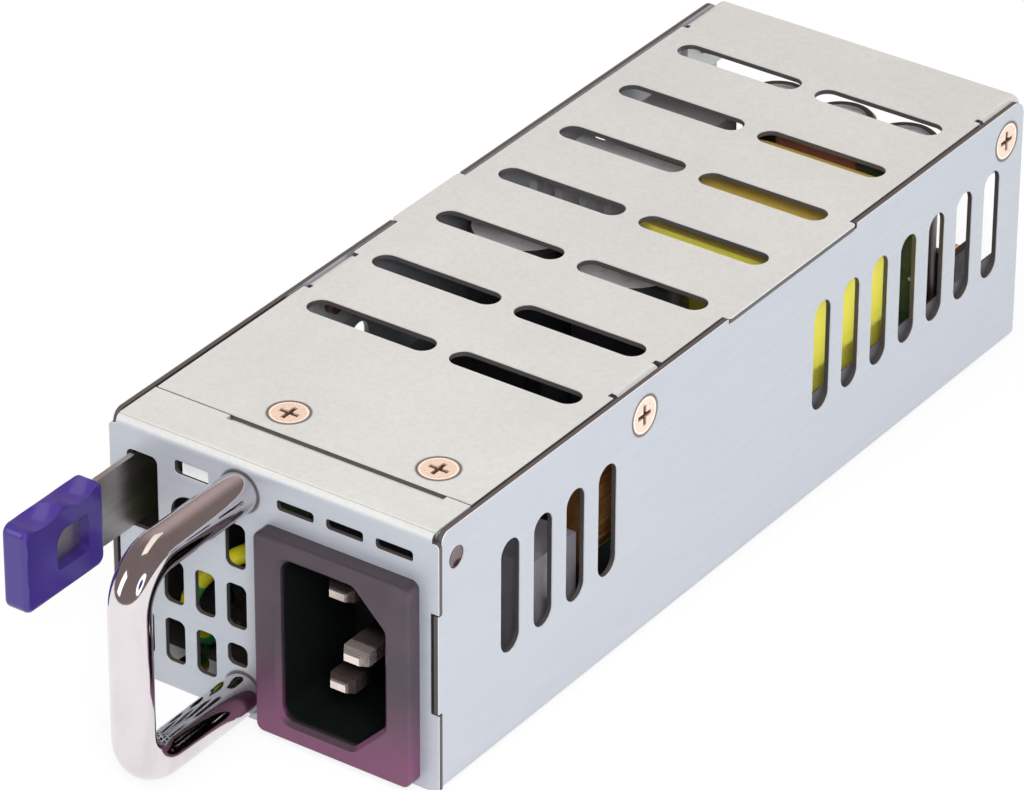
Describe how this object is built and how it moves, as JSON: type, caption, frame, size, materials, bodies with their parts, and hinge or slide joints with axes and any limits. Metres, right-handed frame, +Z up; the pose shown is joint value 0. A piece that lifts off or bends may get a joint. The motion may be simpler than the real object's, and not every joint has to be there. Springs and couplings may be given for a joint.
{
  "type": "hot swap server power supply",
  "caption": "Narrow 1U hot swap server power supply: slotted sheet metal case, C14 inlet, bail handle, sprung release latch and open rear with blade contacts.",
  "frame": {"origin": "middle of the case's underside, half way along the case without its handle and latch", "axes": "+Z up, -Y out of the front panel towards the handle, +X to the right seen from the front, where the mains inlet is"},
  "size_m": [0.0542, 0.1683, 0.039],
  "materials": {
    "zinc_sheet": "satin",
    "nickel": "polished",
    "chromed_rod": "mirror",
    "spring_steel": "satin",
    "violet_plastic": "glossy",
    "black_plastic": "matte",
    "plated_brass": "polished",
    "earth_insulation": "satin",
    "white_plastic": "glossy",
    "board_laminate": "satin",
    "film": "satin",
    "blue_epoxy": "glossy",
    "grey_plastic": "satin",
    "ferrite": "matte",
    "copper": "glossy",
    "capacitor_can": "satin",
    "aluminium": "satin",
    "yellow_tape": "satin",
    "brown_tape": "satin",
    "gold_plate": "polished"
  },
  "bodies": {
    "case": {"chassis_tray": "zinc_sheet", "top_cover": "zinc_sheet", "front_panel": "zinc_sheet", "panel_rivets": "nickel", "cover_screws": "nickel", "side_screws": "nickel", "handle": "chromed_rod", "handle_screws": "nickel", "latch_rivets": "nickel", "inlet_body": "black_plastic", "line_blade": "plated_brass", "neutral_blade": "plated_brass", "earth_blade": "plated_brass", "earth_wire": "earth_insulation", "earth_ring_terminal": "nickel", "earth_screw": "nickel", "light_pipe": "white_plastic", "status_led": "white_plastic", "light_board": "board_laminate", "insulating_film": "film", "main_board": "board_laminate", "board_standoffs": "nickel", "board_screws": "nickel", "fuse": "white_plastic", "fuse_clips": "plated_brass", "varistor": "blue_epoxy", "x_capacitor": "grey_plastic", "choke_core": "ferrite", "choke_winding_right": "copper", "choke_winding_left": "copper", "choke_base": "black_plastic", "relay": "black_plastic", "bridge_rectifier": "black_plastic", "bulk_capacitor_left": "capacitor_can", "bulk_capacitor_right": "capacitor_can", "heatsink": "aluminium", "transistors": "black_plastic", "transistor_screws": "nickel", "pfc_choke": "grey_plastic", "transformer_core": "ferrite", "transformer_winding": "copper", "transformer_tape": "yellow_tape", "transformer_bobbin": "black_plastic", "output_inductor": "brown_tape", "control_board": "board_laminate", "control_board_parts": "blue_epoxy", "output_capacitors": "capacitor_can", "output_connector": "black_plastic", "power_blades": "gold_plate", "signal_pins": "gold_plate"},
    "release_latch": {"latch_strip": "spring_steel", "latch_grip": "violet_plastic"}
  },
  "joints": [
    {"name": "latch_press", "type": "hinge", "parent": "case", "child": "release_latch", "pos_m": [-0.02475, -0.036, 0.02905], "axis": [0, 0, 1], "range_deg": [0, 5], "stiffness_Nm_per_rad": 2}
  ]
}
